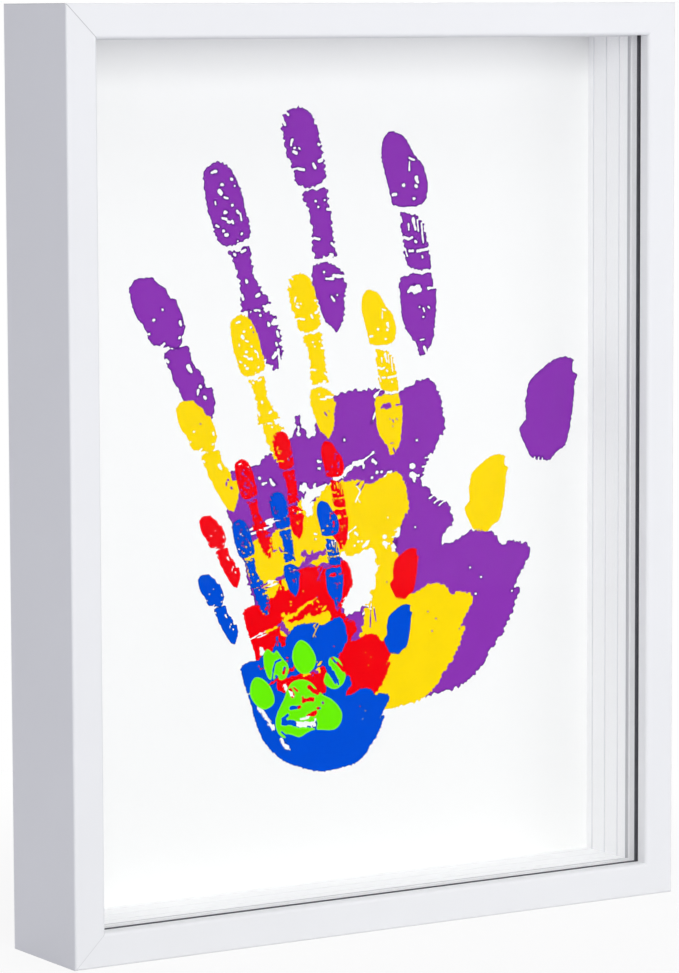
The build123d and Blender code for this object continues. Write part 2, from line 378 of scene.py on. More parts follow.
def zinc_plate(name, dull, bright, roughness):
    """Zinc-plated pressed steel: grey metal with cloudy patches, and fine dents from the tumbling
    drum that soften its shine."""
    material, tree, place = patterned_material(name)
    colour, clouds = drifting(tree, place, 3, 3.0, (linear(dull), linear(bright)), crisp=True)
    shine = {"Value": clouds, 3: roughness + 0.08, 4: roughness - 0.06}
    shine = add(tree, "ShaderNodeMapRange", inputs=shine).outputs[0]
    dents = {"Vector": place, "Scale": 1 / (0.5 * MM), "Detail": 2.0}
    dents = add(tree, "ShaderNodeTexNoise", inputs=dents).outputs["Fac"]
    surfaced(tree, {"Base Color": colour, "Metallic": 1.0, "Roughness": shine}, dents, 0.2, 0.03)
    return material


def poster_paint(name, colour_hex, edge_hex):
    """Poster paint dabbed on by hand: a strong matt colour, a little deeper where it lies thick, with
    a thin line of another tone where it pooled and dried along its edge."""
    material, tree, place = patterned_material(name)
    thin = linear(colour_hex)
    thick = *(0.97 * part for part in thin[:3]), 1.0
    colour, dabs = drifting(tree, place, 7, 4.0, (thin, thick), crisp=True)
    edge = add(tree, "ShaderNodeAttribute", {"attribute_name": "pooled_edge"}).outputs["Fac"]
    lined = {0: edge, 6: colour, 7: linear(edge_hex)}
    colour = add(tree, "ShaderNodeMix", {"data_type": "RGBA"}, lined).outputs[2]
    matt = {"Base Color": colour, "Roughness": 0.8, "Specular IOR Level": 0.0}
    surfaced(tree, matt, dabs, 0.3, 0.05)
    return material


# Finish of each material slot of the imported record
finishes = {
    "painted_moulding": white_lacquer(),
    "glazing_bead": bead_plastic(),
    "liner_board": foil_liner(),
    "glass": picture_glass(),
    "print_paper": plain_board("smooth_art_paper", "#F5F5F4", "#F8F8F7", 0.9, 0.85, 0.01),
    "mount_board": plain_board("cotton_mount_board", "#E8E6E0", "#F2F1EC", 0.6, 0.9, 0.03),
    "filler_board": plain_board("kraft_corrugated_board", "#8A6A48", "#A98359", 1.2, 0.9, 0.05),
    "back_panel": pressed_hardboard(),
    "spring_steel": zinc_plate("blued_spring_steel", "#5C6168", "#7A8087", 0.4),
    "zinc_buttons": zinc_plate("zinc_plated_turn_button", "#8E9399", "#B3B7BB", 0.36),
    "zinc_screws": zinc_plate("zinc_plated_screw", "#868B91", "#AAAEB3", 0.3),
    "zinc_hangers": zinc_plate("zinc_plated_hanger", "#92979C", "#B7BBBF", 0.34),
}


def finish_nodes():
    """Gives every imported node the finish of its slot."""
    for subpart in frame["record"]["subparts"]:
        materials = nodes[subpart["node"]].data.materials
        materials.clear()
        materials.append(finishes[subpart["material_slot"]])
    # Lamps reach the display space as they do in front of the glass
    nodes["glazing_pane"].visible_shadow = False
    nodes["glazing_pane"].visible_diffuse = False


# Fasteners on the back, in mm: screws under the turn buttons, nails in the feet of the hangers
screw_sizes_mm = {
    "Head Radius": 3.0,
    "Head Height": 1.9,
    "Crown Radius": 3.23,
    "Shank Radius": 1.5,
    "Shank Length": 14.0,
    "Tip Length": 2.5,
    "Recess Reach": 1.7,
    "Recess Depth": 1.2,
}
nail_sizes_mm = {
    "Head Radius": 1.5,
    "Head Height": 0.7,
    "Crown Radius": 1.66,
    "Shank Radius": 0.7,
    "Shank Length": 9.0,
    "Tip Length": 1.5,
}
nail_setback_mm = 3.75
fastener_sides = 40
recess_width_share = 0.28
recess_taper_share = 0.4
recess_overrun = 1.2
smooth_angle = math.radians(30)


def fastener_tree():
    """Geometry nodes that drive a screw or nail into each point of a mesh, its head towards +Y."""
    tree = bpy.data.node_groups.new("driven_fasteners", "GeometryNodeTree")
    wanted = [("Places", "Geometry")] + [(name, "Float") for name in screw_sizes_mm]
    wanted += [("Cross Recess", "Bool"), ("Turn Seed", "Int"), ("Metal", "Material")]
    for name, kind in wanted:
        tree.interface.new_socket(name, in_out="INPUT", socket_type=f"NodeSocket{kind}")
    tree.interface.new_socket("Fasteners", in_out="OUTPUT", socket_type="NodeSocketGeometry")
    given = add(tree, "NodeGroupInput").outputs
    angle = add(tree, "GeometryNodeInputMeshEdgeAngle").outputs["Unsigned Angle"]

    # Sizes worked out from the given ones
    sizes = {name: given[name] for name in screw_sizes_mm} | {"Edge Angle": angle}
    for name, operation, first, second in (
        ("Disc Height", "MULTIPLY", "Head Height", 2.0),
        ("Start In Head", "MULTIPLY", "Head Height", 0.5),
        ("Straight", "SUBTRACT", "Shank Length", "Tip Length"),
        ("Shank Height", "ADD", "Straight", "Start In Head"),
        ("Twice Middle", "SUBTRACT", "Start In Head", "Straight"),
        ("Shank Middle", "MULTIPLY", "Twice Middle", 0.5),
        ("Tip Start", "MULTIPLY", "Straight", -1.0),
        ("Wing Corner", "MULTIPLY", "Recess Reach", math.sqrt(2)),
        ("Wing Foot", "MULTIPLY", "Wing Corner", recess_taper_share),
        ("Wing Height", "MULTIPLY", "Recess Depth", recess_overrun),
        ("Recess Floor", "SUBTRACT", "Head Height", "Recess Depth"),
        ("Soft Edge", "LESS_THAN", "Edge Angle", smooth_angle),
    ):
        terms = {0: sizes[first], 1: sizes.get(second, second)}
        sizes[name] = add(tree, "ShaderNodeMath", {"operation": operation}, terms).outputs[0]

    def placed(mesh, height=0.0, turn=(0, 0, 0), scale=(1, 1, 1)):
        shift = add(tree, "ShaderNodeCombineXYZ", inputs={"Z": height}).outputs[0]
        inputs = {"Geometry": mesh, "Translation": shift, "Rotation": turn, "Scale": scale}
        return add(tree, "GeometryNodeTransform", inputs=inputs).outputs[0]

    # Head: a disc cut off by a flat crown, with its underside at zero height
    disc = {"Vertices": fastener_sides, "Radius": given["Head Radius"], "Depth": sizes["Disc Height"]}
    disc = add(tree, "GeometryNodeMeshCylinder", inputs=disc).outputs["Mesh"]
    ball = {"Segments": fastener_sides, "Rings": fastener_sides // 2, "Radius": 1.0}
    ball = add(tree, "GeometryNodeMeshUVSphere", inputs=ball).outputs["Mesh"]
    crown = {0: given["Crown Radius"], 1: given["Crown Radius"], 2: given["Head Height"]}
    crown = add(tree, "ShaderNodeCombineXYZ", inputs=crown).outputs[0]
    blanks = {"Mesh 2": [placed(disc, given["Head Height"]), placed(ball, scale=crown)]}
    head = add(tree, "GeometryNodeMeshBoolean", {"operation": "INTERSECT"}, blanks).outputs["Mesh"]

    # Shank, which starts inside the head, and its point
    shank = {"Vertices": fastener_sides, "Radius": given["Shank Radius"], "Depth": sizes["Shank Height"]}
    shank = add(tree, "GeometryNodeMeshCylinder", inputs=shank).outputs["Mesh"]
    tip = {
        "Vertices": fastener_sides,
        "Radius Top": 0.0,
        "Radius Bottom": given["Shank Radius"],
        "Depth": given["Tip Length"],
    }
    tip = add(tree, "GeometryNodeMeshCone", inputs=tip).outputs["Mesh"]
    shank = placed(shank, sizes["Shank Middle"])
    tip = placed(tip, sizes["Tip Start"], (math.pi, 0, 0))
    joined = {"Mesh 2": [head, shank, tip]}
    whole = add(tree, "GeometryNodeMeshBoolean", {"operation": "UNION"}, joined).outputs["Mesh"]

    # Cross recess: two wings that narrow towards the bottom
    wing = {
        "Vertices": 4,
        "Radius Top": sizes["Wing Corner"],
        "Radius Bottom": sizes["Wing Foot"],
        "Depth": sizes["Wing Height"],
    }
    wing = add(tree, "GeometryNodeMeshCone", inputs=wing).outputs["Mesh"]
    square = placed(wing, 0.0, (0, 0, math.pi / 4))
    thin = recess_width_share
    slots = [placed(square, sizes["Recess Floor"], scale=s) for s in ((1, thin, 1), (thin, 1, 1))]
    cut = {"Mesh 1": whole, "Mesh 2": slots}
    cut = add(tree, "GeometryNodeMeshBoolean", {"operation": "DIFFERENCE"}, cut).outputs["Mesh"]
    either = {"Switch": given["Cross Recess"], "False": whole, "True": cut}
    chosen = add(tree, "GeometryNodeSwitch", {"input_type": "GEOMETRY"}, either).outputs[0]

    # Smooth sides and crisp edges
    soft = add(tree, "GeometryNodeSetShadeSmooth", inputs={0: chosen}).outputs[0]
    edges = {0: soft, "Shade Smooth": sizes["Soft Edge"]}
    crisp = add(tree, "GeometryNodeSetShadeSmooth", {"domain": "EDGE"}, edges).outputs[0]

    # One at each place, turned as the driver left it
    spin = {2: 0.0, 3: math.tau, "Seed": given["Turn Seed"]}
    spin = add(tree, "FunctionNodeRandomValue", inputs=spin).outputs[1]
    lean = add(tree, "ShaderNodeCombineXYZ", inputs={0: -math.pi / 2, 1: spin}).outputs[0]
    each = {"Points": given["Places"], "Instance": crisp, "Rotation": lean}
    each = add(tree, "GeometryNodeInstanceOnPoints", inputs=each).outputs[0]
    real = add(tree, "GeometryNodeRealizeInstances", inputs={0: each}).outputs[0]
    clad = {"Geometry": real, "Material": given["Metal"]}
    clad = add(tree, "GeometryNodeSetMaterial", inputs=clad).outputs[0]
    add(tree, "NodeGroupOutput", inputs={0: clad})
    return tree


def drive_fasteners(name, tree, places, sizes_mm, choices, node, slot):
    """A screw or nail at each place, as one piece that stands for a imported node."""
    points = bpy.data.meshes.new(name)
    points.from_pydata(places, [], [])
    carrier = bpy.data.objects.new(name, points)
    bpy.context.scene.collection.objects.link(carrier)
    modifier = carrier.modifiers.new("driven", "NODES")
    modifier.node_group = tree
    values = {size: length * MM for size, length in sizes_mm.items()}
    values |= choices | {"Metal": finishes[slot]}
    for item in tree.interface.items_tree:
        if item.name in values:
            modifier[item.identifier] = values[item.name]
    graph = bpy.context.evaluated_depsgraph_get()
    mesh = bpy.data.meshes.new_from_object(carrier.evaluated_get(graph), depsgraph=graph)
    bpy.data.objects.remove(carrier)
    bpy.data.meshes.remove(points)
    mesh.name = name
    piece = bpy.data.objects.new(name, mesh)
    bpy.context.scene.collection.objects.link(piece)
    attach(piece, "root")
    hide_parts(node)


def make_fasteners():
    """Cross-recess screws where the turn buttons pivot, and plain nails at the hangers' ends."""
    tree = fastener_tree()
    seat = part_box("turn_button_screws")[1].y - screw_sizes_mm["Head Height"] * MM
    places = [(joint["pos_m"][0], seat, joint["pos_m"][2]) for joint in frame["joints"]]
    choices = {"Cross Recess": True, "Turn Seed": 5}
    drive_fasteners(
        "pan_head_screws", tree, places, screw_sizes_mm, choices, "turn_button_screws", "zinc_screws"
    )
    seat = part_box("hanger_nails")[1].y - nail_sizes_mm["Head Height"] * MM
    places = []
    for name, axis in (("hanger_portrait", 0), ("hanger_landscape", 2)):
        low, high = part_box(name)
        for end, inward in ((low, 1), (high, -1)):
            place = (low + high) / 2
            place.y = seat
            place[axis] = end[axis] + inward * nail_setback_mm * MM
            places.append(place)
    choices = {"Cross Recess": False, "Turn Seed": 6}
    drive_fasteners(
        "flat_head_nails", tree, places, nail_sizes_mm, choices, "hanger_nails", "zinc_screws"
    )


# Prints of one left hand on the sheet, at the size of the largest: the corners of the part of the
# sheet that they fill, and for each print of a finger, from the little finger to the thumb, how deep
# the teeth along its edge are, and that edge
hand_corners_mm = (-90, 68), (114, 302)
finger_prints_mm = (
    (0.25, (
        (-76.4, 234.3), (-72.4, 234.4), (-70, 232.3), (-67.2, 230.3), (-65.2, 226.9),
        (-63.2, 226.3), (-60.8, 221.4), (-59.2, 215.7), (-60.5, 212.6), (-61.7, 209.4),
        (-65.4, 209.1), (-69.4, 209.8), (-72.6, 211), (-74.6, 213.9), (-76.6, 217.8),
        (-79.4, 221.4), (-80.8, 225), (-81.7, 228.5), (-81.3, 231.7), (-79.3, 233.9),
    )),
    (0.3, (
        (-67.8, 207.9), (-64.6, 208.9), (-61.3, 209.2), (-58.6, 209.7), (-57.2, 206.8),
        (-56, 203.5), (-53.6, 200.6), (-51.6, 198), (-50.8, 195.1), (-48.3, 193.9),
        (-47.5, 190.7), (-47.3, 187), (-49.2, 181.2), (-51.2, 179.6), (-55, 182.5),
        (-59.5, 189.5), (-61.4, 193.1), (-63.4, 196.4), (-65.4, 200.4), (-67.4, 205.1),
    )),
    (0.35, (
        (-46.5, 274.3), (-43.6, 273.9), (-40.3, 271.7), (-38.3, 268.8), (-36.3, 265.2),
        (-35.1, 260.6), (-33.9, 255.9), (-32.6, 250.9), (-32.7, 247.4), (-37.2, 245.2),
        (-40.5, 244.4), (-43.8, 244.9), (-46.7, 248.2), (-47.5, 251.4), (-49.1, 255.6),
        (-50.1, 259.2), (-50.7, 262.7), (-51.4, 267), (-51, 270.8), (-48.9, 272.9),
    )),
    (0.5, (
        (-41, 242.3), (-37.2, 242.9), (-33.1, 244), (-32.3, 242), (-31.5, 238.5),
        (-30.7, 234.2), (-28.6, 230.5), (-27.4, 228.3), (-25.7, 225.8), (-24.1, 223.4),
        (-26.6, 222.2), (-29.9, 221.1), (-33.3, 220.9), (-36, 221.2), (-36.5, 228),
        (-36.5, 230.8), (-37.7, 233.7), (-38.5, 237.3), (-39.7, 239.8),
    )),
    (0.7, (
        (-33.7, 220.4), (-30.4, 220.6), (-26.6, 221.3), (-23.7, 219.6), (-20.8, 217.7),
        (-20, 213.7), (-19.6, 209.4), (-18.8, 205.8), (-19.6, 202.6), (-21.7, 199.8),
        (-24.2, 201.7), (-27.1, 204.4), (-29.6, 209.5), (-32.1, 215),
    )),
    (0.5, (
        (-17, 291.8), (-12.8, 293.3), (-9.5, 292.4), (-6.6, 290.6), (-4.9, 287), (-3.6, 283),
        (-2, 278.4), (-1.2, 274.1), (-0.8, 269.8), (-1.2, 266.9), (-4.2, 265.2), (-7.5, 264.2),
        (-10.9, 265), (-13.8, 266.8), (-13.8, 269.3), (-15, 272.6), (-16.3, 274.7),
        (-17.9, 280.4), (-18.3, 284), (-19.1, 287.2), (-18.3, 290),
    )),
    (0.5, (
        (-10.1, 262.5), (-5.9, 263.4), (-0.6, 264), (0.5, 260.4), (1.3, 256.4), (2.1, 251.8),
        (2.5, 246), (3.8, 239.8), (-0.9, 239.3), (-5.5, 239.6), (-6.1, 247), (-6.8, 252),
        (-8.8, 258.1), (-10.1, 260.3),
    )),
    (0.4, (
        (-6, 236), (-3, 237.2), (-0.5, 237.5), (2.9, 236.3), (6.7, 233.6), (7.1, 230.3),
        (8, 228.9), (7.3, 223.5), (7.1, 217.7), (5.4, 214.2), (4.1, 211.7), (1.1, 214.7),
        (-2.3, 218.1), (-3.9, 222.1), (-5.6, 227.6), (-6.9, 231.6),
    )),
    (0.2, (
        (25.3, 282.9), (27.8, 283.8), (31.3, 282.8), (33.9, 280.9), (35.6, 278), (37.3, 275.1),
        (39.9, 273), (41.6, 270.3), (42.9, 266.3), (43.2, 262.6), (42.3, 259), (39.5, 256.7),
        (33.8, 256.3), (28.2, 257.2), (26.9, 260.1), (26.1, 263.7), (24.8, 267.8),
        (23.9, 271.4), (23.1, 275.4), (23.5, 280),
    )),
    (0.4, (
        (31.2, 254), (34.7, 254.1), (37.7, 253.3), (40.7, 251), (42, 247.4), (42.9, 243.7),
        (43.8, 240), (44.4, 236), (44.2, 233.6), (41.1, 233), (38.1, 233.6), (35.1, 234.7),
        (33.3, 238.5), (32.5, 243.3), (31.6, 248.8),
    )),
    (0.3, (
        (31.2, 230.4), (34.6, 231.6), (37.2, 232.4), (40.7, 231.7), (43.8, 232.4),
        (45.1, 229.8), (45.5, 226.5), (46.8, 225.5), (47, 220.9), (46.3, 215.8), (45.9, 211.1),
        (45, 206.3), (43.3, 203.8), (39.8, 201.4), (38.9, 203.7), (37.2, 207.4), (34.1, 210.8),
        (32.4, 214.9), (31.3, 219.7), (30.7, 225.2),
    )),
    (0.25, (
        (95.8, 196.2), (100.5, 198.5), (103.2, 198.9), (105.9, 198.5), (108.3, 197.3),
        (107.4, 195.9), (107.4, 194.2), (108.4, 192.8), (110, 191.6), (109.1, 189.5), (108.3, 186),
        (107.8, 180.1), (106, 170.4), (104.2, 165.8), (100.6, 163.2), (97.3, 160.5), (92.9, 160.6),
        (89.3, 161.4), (87.5, 164), (85.4, 168.3), (83.6, 172), (83.8, 173.7), (86, 175.8),
        (86.6, 178.3), (86, 182.2), (86.9, 186.8), (87.8, 189.5), (89.5, 192.1), (92.8, 194),
    )),
)  # fmt: skip
# Edges of the palm and of the hollow in it
palm_edge_mm = (
    (-44.6, 161.7), (-43.7, 154.5), (-39.2, 140.6), (-35.6, 131), (-33, 120), (-25, 103),
    (-10, 88), (10, 79), (28, 75), (47, 76.6), (57, 78.5), (66.5, 84.8), (70, 90), (78, 99.5),
    (82.5, 110), (83.4, 113.2), (81.6, 114.7), (86.1, 121.6), (88.5, 125.2), (87.6, 129.2),
    (80, 131.4), (76, 130.6), (71, 135.4), (65, 136.3), (60, 135.7), (55.1, 132.9), (49.2, 132.4),
    (49.2, 134.5), (53.1, 138.4), (54.2, 141.5), (51.5, 146.8), (46.5, 149.2), (43.7, 153.3),
    (40.2, 155.3), (42.3, 161.8), (43.5, 165.7), (45.8, 166.5), (47.5, 170.8), (50.4, 174),
    (50, 181), (46, 191.5), (40.5, 193.4), (33, 190.2), (30, 188.5), (26.8, 188.2), (23, 190.8),
    (19, 191.2), (14, 190.2), (9.8, 190.8), (3, 189.4), (0, 186), (-4.6, 181), (-5.6, 176),
    (-8.3, 174.1), (-9.6, 177), (-11.3, 178.5), (-11.8, 182.4), (-13.7, 182.7), (-14.2, 178),
    (-15.5, 174.8), (-19.7, 169.6), (-25.3, 169.5), (-29.6, 166.3), (-38, 165),
)  # fmt: skip
palm_hollow_mm = (
    (-11, 151), (-4, 150), (4.2, 151.6), (8, 155.4), (15.4, 154.6), (22.9, 155), (28, 156),
    (32, 150.5), (30, 143), (30.4, 138), (27.6, 132.5), (24.7, 125.4), (22.2, 118.2),
    (21.4, 111.5), (12, 110), (5, 112), (5, 130), (-4, 136), (-12, 143),
)  # fmt: skip
# Marks left bare: two ends, as across and up, and half a width each
palm_marks_mm = (
    (19.3, 167.5, 14, 164.3, 0.45), (14, 164.3, 11, 163.6, 0.8), (11, 163.6, 7.3, 161, 1.1),
    (7.3, 161, 0, 156.5, 1.3), (0, 156.5, -5, 154.5, 1.8), (-5, 154.5, -12, 150, 1.5),
    (-12, 150, -20, 146, 0.9), (-20, 146, -30, 143.8, 1), (-30, 143.8, -41, 139.3, 0.6),
    (-24, 143.4, -33, 141, 0.5), (-10.8, 156.8, -8.5, 154.5, 1.4), (-5.6, 157.6, -5.9, 154, 0.7),
    (-29.5, 131.5, -17, 112.5, 2), (-9.5, 103, -3.5, 95.5, 1.8), (24.6, 189, 22.3, 185.4, 0.4),
    (20, 187.6, 22.2, 185.4, 0.35), (22.3, 185.4, 18.5, 178.3, 0.45), (22, 179.5, 20.5, 181.5, 0.3),
    (22.5, 190.3, 20.3, 188, 0.7), (23.6, 157.4, 26.8, 160.1, 0.9), (28.3, 131, 27.6, 117.3, 0.35),
    (29.8, 127, 31, 120.1, 0.4), (36.1, 161.9, 36.5, 161.5, 0.9), (36.5, 158.3, 36.9, 157, 1.2),
    (-12.5, 178.2, -12.4, 177.8, 0.9), (-12.5, 176, -12.4, 176, 0.7), (6.5, 172.8, 7.1, 172.8, 0.7),
    (-4.1, 165.6, -3.1, 165.2, 0.6), (-4.5, 163.1, -3.6, 163.1, 0.5), (14.7, 163.8, 15.2, 162.2, 0.7),
    (19.1, 164.6, 20.3, 163.5, 0.6), (20.8, 160.2, 21, 160.2, 0.5), (22.9, 160.2, 23.1, 160.2, 0.5),
    (18.5, 158.3, 18.7, 158.3, 0.5), (-29.1, 160.9, -28.9, 160.9, 0.5), (-27.6, 158.9, -26, 159.2, 0.5),
    (-24.3, 160, -22.9, 158.4, 0.8), (-26.3, 171.2, -25.2, 171, 0.6), (38, 171, 38.2, 171, 0.4),
    (61.6, 122.4, 61.8, 122.4, 0.4), (66.4, 118.6, 66.6, 118.6, 0.4), (64, 112.4, 64.2, 112.4, 0.4),
    (80.1, 112.5, 80.3, 112.5, 0.4), (37.3, 139.1, 37.5, 139.1, 0.4), (38.8, 157.9, 39, 157.9, 0.5),
    (47.7, 151.4, 43.5, 149.2, 0.35), (49.4, 149.6, 45.7, 147.5, 0.35),
    (50.5, 148.2, 47.8, 146.4, 0.3), (46.4, 164.4, 41.9, 164.3, 0.35),
    (45.5, 161.1, 40.7, 161.1, 0.35), (44.9, 159.3, 40.9, 158.9, 0.3), (44.5, 157.2, 41, 157.4, 0.3),
)  # fmt: skip
finger_marks_mm = (
    (35.2, 274, 37.3, 273.3, 0.6), (35.2, 272.6, 35.1, 269.7, 0.5), (38.2, 266.7, 38.6, 265.3, 0.9),
    (37.7, 264, 38.2, 263.8, 0.8), (32.5, 264.3, 32.8, 264.3, 0.6), (28.2, 261, 29.5, 261, 0.7),
    (36.9, 259.3, 37.7, 259.3, 0.5), (31.4, 252.8, 31.9, 250.9, 0.4), (36.8, 251.9, 37.7, 248.2, 0.7),
    (38.6, 251.5, 39, 247.5, 0.4), (34.7, 250.1, 34.9, 247.9, 0.4), (40.3, 250.3, 41.2, 243, 0.4),
    (32.9, 245.4, 34.7, 244.7, 0.6), (35.1, 244.7, 36.4, 245.3, 0.4), (37.7, 243.7, 38.1, 243.5, 0.6),
    (33.3, 241.1, 34.2, 238.5, 0.4), (35.1, 240.3, 36.8, 240.2, 0.6), (38.5, 240.2, 43.3, 240.8, 0.6),
    (40.7, 238.3, 40.9, 237.6, 0.4), (35.9, 226.4, 39, 226.7, 1.4), (37.2, 225.3, 38.1, 225.6, 0.9),
    (34.6, 225.4, 34.8, 225.4, 0.5), (39.4, 219.7, 39.6, 219.7, 0.5), (41.1, 219.3, 41.6, 218.2, 0.5),
    (43.3, 219.6, 43.7, 219.2, 0.6), (41.1, 216, 41.3, 216, 0.5), (39.8, 207.7, 41.5, 207.9, 0.4),
    (41.5, 205, 42.4, 203.1, 0.5), (43.3, 226.5, 45.1, 226.5, 0.6), (-48.1, 270.6, -46.1, 270.9, 0.6),
    (-40, 268, -39.5, 267.8, 0.6), (-43.7, 266.3, -43.3, 266.1, 0.7), (-38.7, 265.6, -38.5, 265.6, 0.5),
    (-44.9, 264, -44.1, 263.3, 0.8), (-42.9, 261.8, -41.4, 261.3, 0.4), (-46.6, 260.3, -46.4, 259.1, 0.4),
    (-39.6, 258.9, -39.4, 258.9, 0.6), (-42.5, 256.4, -42.1, 256.5, 0.8), (-37.6, 256.8, -37.2, 256, 0.6),
    (-36.3, 255.7, -35.9, 253.5, 0.4), (-43.8, 254.4, -42.1, 253.9, 0.5), (-41.3, 253, -40.9, 252.9, 0.6),
    (-39.6, 253.3, -39.2, 252.5, 0.5), (-46.2, 251.9, -45, 251.3, 0.5), (-43.4, 249.8, -43, 249.8, 0.6),
    (-42.6, 248.4, -41.7, 248.4, 0.7), (-36, 248.4, -35.6, 248.9, 0.5), (-37.6, 246.1, -37.4, 246.1, 0.5),
    (-14.6, 281.5, -15, 279.7, 0.7), (-13.7, 278.6, -13.5, 278.6, 0.5), (-14.2, 277.3, -12.9, 276.8, 0.6),
    (-11.7, 278.5, -11.4, 278.2, 0.5), (-5.8, 272.7, -5, 271.3, 0.7), (-3.7, 279.8, -3.2, 279.5, 0.6),
    (-3.3, 273.7, -2.4, 274.1, 0.8), (-15.9, 270.8, -12.5, 271.3, 0.4), (-12.5, 271.3, -9.6, 270.7, 0.5),
    (-18.1, 287.9, -17.5, 286.8, 0.7), (-17.4, 291.4, -16.2, 290.4, 0.5), (-5, 259.5, -4.8, 259.5, 0.5),
    (-1.2, 259.7, -1, 259.7, 0.5), (-3.8, 257.3, -3.6, 257.3, 0.5), (0, 256.3, 1.7, 256.4, 0.6),
    (1.7, 244.2, 2.9, 243.1, 0.5), (-5.5, 246.2, -3.4, 245.8, 0.5), (1.2, 240.3, 2.1, 239.9, 0.6),
    (-1.6, 233.9, -1.3, 233.9, 0.5), (-0.5, 231.5, 2.5, 231.4, 0.6), (2.5, 232.3, 7.6, 232, 0.7),
    (1.6, 224.8, 2.8, 223.3, 0.6), (4.1, 225.4, 4.3, 225.4, 0.4), (-68.5, 223, -68.3, 222.8, 0.5),
    (-72.2, 219.4, -71.8, 219.4, 0.6), (-61.4, 218.3, -61, 217.2, 0.6), (-74, 214.5, -73.8, 214.5, 0.5),
    (-61.7, 212.6, -61.3, 212.8, 0.6), (-69.4, 209.4, -67.8, 210.8, 0.6), (-67.4, 208.3, -66.2, 209.3, 0.8),
    (-58.1, 202.2, -57.3, 200.7, 0.9), (-67, 205.1, -66.2, 204.3, 0.6), (-53.4, 195.1, -52.8, 194.9, 0.7),
    (-54.1, 193.8, -54.3, 192.1, 0.5), (-51.6, 191.2, -51.2, 190.9, 0.6), (-39.1, 241.5, -38.5, 241.2, 0.6),
    (-36, 242.2, -34.4, 242.8, 0.5), (-34, 231.8, -33.8, 231.4, 0.6), (-35.7, 226.9, -35.5, 225.4, 0.6),
    (-29.9, 226.3, -28.7, 226.8, 0.6), (-28.3, 219.4, -28.1, 219.3, 0.5), (-25, 216.5, -24.8, 215.7, 0.6),
    (90.3, 159.6, 90.6, 161.9, 0.35), (92, 159.4, 92.3, 161.7, 0.35), (93.8, 159.3, 94, 161.5, 0.35),
    (-22.5, 216.7, -20.8, 217, 1.1), (-21.4, 213.1, -20.8, 211.6, 0.6), (-21.7, 209.2, -21.5, 208.4, 0.5),
    (-23, 204.2, -21.7, 205.2, 0.9), (-20.9, 206.6, -20.1, 201.2, 0.5), (-27, 222.6, -25.8, 221.9, 0.5),
)  # fmt: skip
# Each hand: its colour and that of its dried edge, its size beside the largest, how far it is moved
# right and up, and how high its paint lies over the sheet, where later hands lie on earlier ones
hands = {
    "purple": ("#8A34B0", "#63238A", 1.0, 0.0, 0.0, 0.05),
    "yellow": ("#FEDA08", "#F6D007", 0.74, -2.7, 16.8, 0.10),
    "red": ("#F2020E", "#E2020E", 0.486, -14.3, 34.9, 0.15),
    "blue": ("#004CD5", "#003A9A", 0.474, -16.0, 16.7, 0.20),
}

# Paw on the sheet: its colour and that of its dried edge, the edges of its main pad and toes, and
# the marks that dry brushing left bare
paw_colours = "#6AF005", "#78EE2A"
paw_height_mm = 0.25
paw_corners_mm = (-36, 62), (10, 104)
paw_edges_mm = (
    (
        (-11.4, 86.7), (-8, 85.5), (-5.5, 82.9), (-2.9, 80.6), (0.9, 78.5), (3.9, 75.7),
        (5.4, 72.6), (4.7, 69.3), (2.2, 67.3), (-1.7, 67.3), (-6.8, 67.8), (-9.8, 66.9),
        (-12.8, 65.7), (-15.8, 66.7), (-18.3, 67.3), (-18.7, 65.9), (-20.8, 66.8), (-22.1, 68.4),
        (-22.9, 70.7), (-22.9, 73.2), (-22.1, 75.7), (-20.8, 77.8), (-19.1, 80.9), (-18, 83.4),
        (-16.5, 85.5), (-14.4, 86.6),
    ),
    (
        (-30.4, 89.2), (-27.5, 87.8), (-25, 85.1), (-23.3, 80.9), (-24.1, 78.4), (-27.5, 77.1),
        (-30.9, 78.9), (-33.2, 82.1), (-33.6, 85.4), (-32.5, 88.3),
    ),
    (
        (-26.1, 99), (-23.6, 97.3), (-22.3, 98.3), (-20.7, 96.4), (-19.4, 94.8), (-17.7, 92.9),
        (-17.3, 90.6), (-18.2, 88.2), (-20.3, 87.2), (-22.4, 88.1), (-24.5, 87.6), (-26.2, 88.8),
        (-27.2, 91.5), (-27.8, 94), (-27.8, 97),
    ),
    (
        (-11.3, 101.1), (-8.4, 99), (-6.3, 95.9), (-5.6, 93.3), (-6.7, 90.5), (-9.3, 88.7),
        (-12.2, 89.1), (-14.8, 91.9), (-15.8, 95.6), (-14.7, 99.2), (-13, 100.9),
    ),
    (
        (1.4, 94.2), (4.4, 92.5), (6.1, 89.4), (7, 86.4), (5.7, 83.6), (2.6, 82), (-0.3, 83),
        (-2.3, 85), (-1.6, 87.9), (-0.3, 90.3), (-0.3, 92.9),
    ),
)  # fmt: skip
